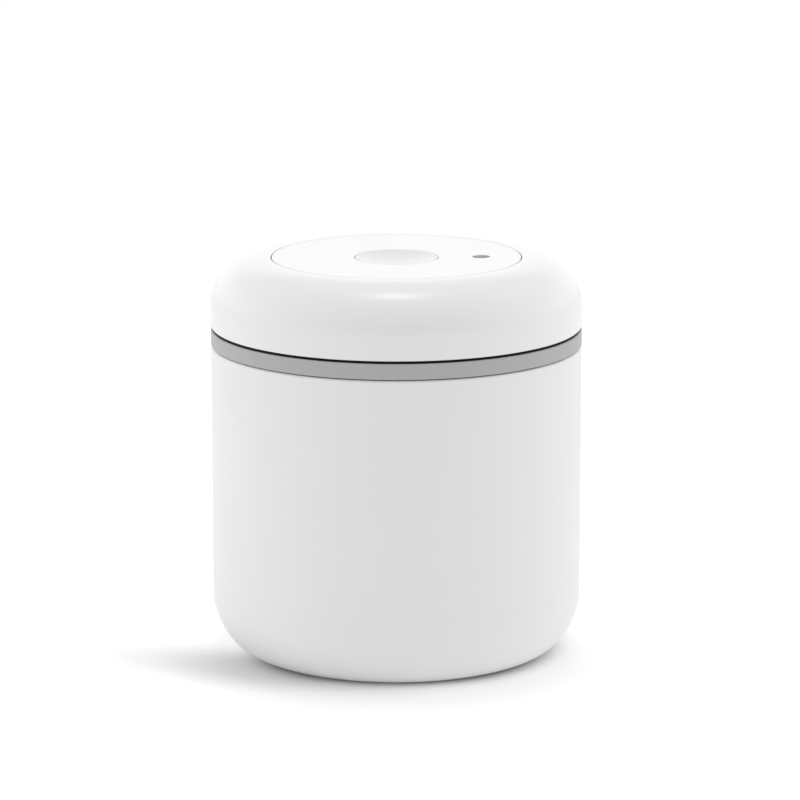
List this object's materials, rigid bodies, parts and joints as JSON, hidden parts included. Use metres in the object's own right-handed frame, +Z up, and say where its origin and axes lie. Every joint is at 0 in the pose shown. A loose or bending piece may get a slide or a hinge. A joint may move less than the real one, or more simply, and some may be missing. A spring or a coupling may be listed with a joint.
{
  "type": "vacuum seal canister",
  "caption": "Round white canister with a rounded base and a pump lid: its domed top twists back and forth to draw the air out, and a centre button lets it back in.",
  "frame": {"origin": "centre of the foot pad's underside, on the floor that the canister stands on", "axes": "+Z up along the canister's axis, +X towards the vacuum indicator, -Y towards the front"},
  "size_m": [0.112, 0.112, 0.121],
  "materials": {
    "white_coated_steel": "fine matte powder coat",
    "white_plastic": "fine matte texture",
    "grey_plastic": "satin",
    "black_plastic": "matte",
    "indicator_grey": "satin",
    "natural_acetal": "satin",
    "white_silicone": "matte",
    "grey_silicone": "matte",
    "black_rubber": "matte",
    "stainless_steel": "bright",
    "filter_mesh": "fine mesh"
  },
  "bodies": {
    "jar": {"vessel": "white_coated_steel", "foot_pad": "grey_silicone"},
    "lid": {"lid_base": "white_plastic", "base_ring": "grey_plastic", "glide_ring": "black_plastic", "rim_gasket": "white_silicone", "band_screws": "stainless_steel", "pump_cylinder": "natural_acetal", "cylinder_seal": "black_rubber", "cylinder_screws": "stainless_steel", "retainer_ring": "natural_acetal", "retainer_screws": "stainless_steel", "lower_slip_ring": "black_plastic", "upper_slip_ring": "black_plastic", "top_plate": "white_plastic", "intake_valve": "grey_silicone", "intake_filter": "filter_mesh", "filter_cap": "white_plastic", "button_spring": "stainless_steel", "indicator_spring": "stainless_steel"},
    "dome": {"twist_dome": "white_plastic", "cam_ring": "natural_acetal"},
    "piston": {"piston": "natural_acetal", "piston_seal": "black_rubber", "tube_seal": "black_rubber", "guide_seal": "black_rubber", "exhaust_valve": "grey_silicone", "follower_pins": "stainless_steel"},
    "button": {"release_button": "white_plastic", "valve_stem": "natural_acetal", "poppet_seal": "grey_silicone"},
    "indicator": {"indicator_pin": "indicator_grey", "indicator_seal": "black_rubber"}
  },
  "joints": [
    {"name": "lid_lift", "type": "slide", "parent": "jar", "child": "lid", "axis": [0, 0, 1], "range_m": [0, 0.12]},
    {"name": "dome_twist", "type": "hinge", "parent": "lid", "child": "dome", "pos_m": [0, 0, 0.11], "axis": [0, 0, 1], "range_deg": [0, 75]},
    {"name": "piston_slide", "type": "slide", "parent": "lid", "child": "piston", "axis": [0, 0, 1], "range_m": [0, 0.00601]},
    {"name": "button_press", "type": "slide", "parent": "lid", "child": "button", "axis": [0, 0, -1], "range_m": [0, 0.0025], "stiffness_N_per_m": 800, "springref_m": -0.004, "deforming": ["button_spring"]},
    {"name": "indicator_drop", "type": "slide", "parent": "lid", "child": "indicator", "axis": [0, 0, -1], "range_m": [0, 0.002], "stiffness_N_per_m": 200, "springref_m": -0.003, "deforming": ["indicator_spring"]}
  ],
  "couplings": [
    {"joint": "piston_slide", "follows": "dome_twist", "m_per_rad": 0.0045837}
  ]
}
